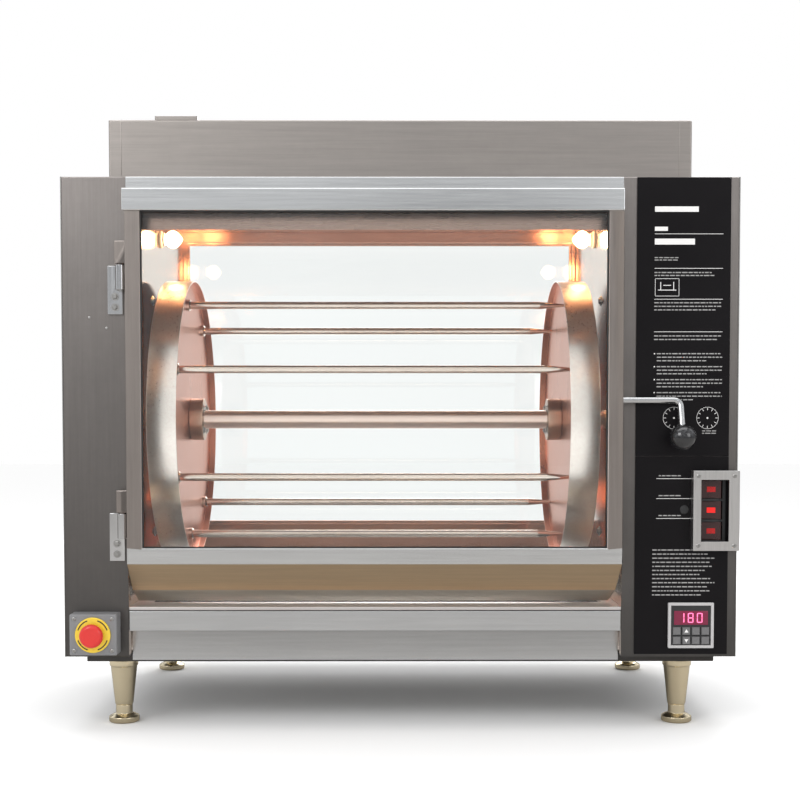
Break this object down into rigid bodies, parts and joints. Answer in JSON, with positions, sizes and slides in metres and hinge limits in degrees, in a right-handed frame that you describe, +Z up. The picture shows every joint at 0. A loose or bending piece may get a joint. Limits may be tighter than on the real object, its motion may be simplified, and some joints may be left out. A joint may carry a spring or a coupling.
{
  "type": "rotisserie oven",
  "caption": "Commercial rotisserie oven on legs with a glazed bay, turning spit frame, hinged glass door, grease drawer and switch panel.",
  "frame": {"origin": "on the floor, under the middle of the oven and its reach front to back", "axes": "+X to the right seen from the front, the front faces -Y, +Z up"},
  "size_m": [1.15, 0.7528, 1.058],
  "materials": {
    "stainless": "brushed satin",
    "bay_steel": "heat tinted satin",
    "rotor_steel": "polished",
    "bright_steel": "bright",
    "leg_nickel": "satin nickel",
    "dark_steel": "dark satin",
    "motor_paint": "satin enamel",
    "black_panel": "satin printed film",
    "black_plastic": "gloss",
    "grey_plastic": "satin",
    "yellow_plastic": "satin",
    "estop_grey": "satin",
    "red_plastic": "satin",
    "lit_red": "translucent gloss",
    "lamp_glass": "lit lamp",
    "clear_glass": "clear toughened"
  },
  "bodies": {
    "root": {"left_cabinet": "stainless", "right_cabinet": "stainless", "left_side_panel": "stainless", "right_side_panel": "stainless", "hood": "stainless", "front_header": "stainless", "switch_guard": "stainless", "bay_wall_left": "bay_steel", "bay_wall_right": "bay_steel", "bay_roof": "bay_steel", "rear_window_frame": "bay_steel", "sill_frame": "bay_steel", "hinge_upper": "bright_steel", "hinge_lower": "bright_steel", "leg_front_left": "leg_nickel", "leg_front_right": "leg_nickel", "leg_back_left": "leg_nickel", "leg_back_right": "leg_nickel", "base_frame": "dark_steel", "drive_chain": "dark_steel", "bearing_left": "dark_steel", "bearing_right": "dark_steel", "heating_element": "dark_steel", "gearmotor": "motor_paint", "panel_upper": "black_panel", "panel_lower": "black_panel", "switch_housing": "black_plastic", "controller_face": "black_plastic", "cable_gland": "black_plastic", "controller_body": "grey_plastic", "estop_ring": "yellow_plastic", "estop_box": "estop_grey", "lamp_left": "lamp_glass", "lamp_right": "lamp_glass", "rear_glass": "clear_glass"},
    "rotor": {"rotor_axle": "rotor_steel", "rotor_disc_left": "rotor_steel", "rotor_disc_right": "rotor_steel", "rotor_sprocket": "dark_steel", "spit_1": "bright_steel", "spit_2": "bright_steel", "spit_3": "bright_steel", "spit_4": "bright_steel", "spit_5": "bright_steel", "spit_6": "bright_steel", "spit_7": "bright_steel"},
    "motor_shaft": {"motor_sprocket": "dark_steel"},
    "door": {"door_frame": "stainless", "door_glass": "clear_glass"},
    "latch": {"door_handle": "bright_steel", "handle_knob": "black_plastic"},
    "drawer": {"grease_drawer": "stainless"},
    "estop": {"estop_button": "red_plastic"},
    "rocker_top": {"rocker_1": "lit_red"},
    "rocker_middle": {"rocker_2": "lit_red"},
    "rocker_bottom": {"rocker_3": "lit_red"},
    "foot_front_left": {"foot_front_left": "leg_nickel"},
    "foot_front_right": {"foot_front_right": "leg_nickel"},
    "foot_back_left": {"foot_back_left": "leg_nickel"},
    "foot_back_right": {"foot_back_right": "leg_nickel"}
  },
  "joints": [
    {"name": "rotor_spin", "type": "hinge", "parent": "root", "child": "rotor", "pos_m": [0, 0, 0.532], "axis": [1, 0, 0], "continuous": true},
    {"name": "motor_spin", "type": "hinge", "parent": "root", "child": "motor_shaft", "pos_m": [0, 0.15, 0.308], "axis": [1, 0, 0], "continuous": true},
    {"name": "door_swing", "type": "hinge", "parent": "root", "child": "door", "pos_m": [-0.4715, -0.335, 0.532], "axis": [0, 0, 1], "range_deg": [-120, 0]},
    {"name": "latch_lift", "type": "hinge", "parent": "door", "child": "latch", "pos_m": [0.375, -0.331, 0.564], "axis": [1, 0, 0], "range_deg": [-70, 0]},
    {"name": "drawer_slide", "type": "slide", "parent": "root", "child": "drawer", "axis": [0, -1, 0], "range_m": [0, 0.45]},
    {"name": "estop_press", "type": "slide", "parent": "root", "child": "estop", "axis": [0, 1, 0], "range_m": [0, 0.006], "stiffness_N_per_m": 600, "springref_m": -0.002},
    {"name": "rocker_top_flip", "type": "hinge", "parent": "root", "child": "rocker_top", "pos_m": [0.53, -0.318, 0.4125], "axis": [0, 0, 1], "range_deg": [0, 16]},
    {"name": "rocker_middle_flip", "type": "hinge", "parent": "root", "child": "rocker_middle", "pos_m": [0.53, -0.318, 0.377], "axis": [0, 0, 1], "range_deg": [0, 16]},
    {"name": "rocker_bottom_flip", "type": "hinge", "parent": "root", "child": "rocker_bottom", "pos_m": [0.53, -0.318, 0.3415], "axis": [0, 0, 1], "range_deg": [0, 16]},
    {"name": "foot_front_left_screw", "type": "slide", "parent": "root", "child": "foot_front_left", "axis": [0, 0, -1], "range_m": [0, 0.025]},
    {"name": "foot_front_right_screw", "type": "slide", "parent": "root", "child": "foot_front_right", "axis": [0, 0, -1], "range_m": [0, 0.025]},
    {"name": "foot_back_left_screw", "type": "slide", "parent": "root", "child": "foot_back_left", "axis": [0, 0, -1], "range_m": [0, 0.025]},
    {"name": "foot_back_right_screw", "type": "slide", "parent": "root", "child": "foot_back_right", "axis": [0, 0, -1], "range_m": [0, 0.025]}
  ],
  "couplings": [
    {"joint": "motor_spin", "follows": "rotor_spin", "ratio": 2.4}
  ]
}
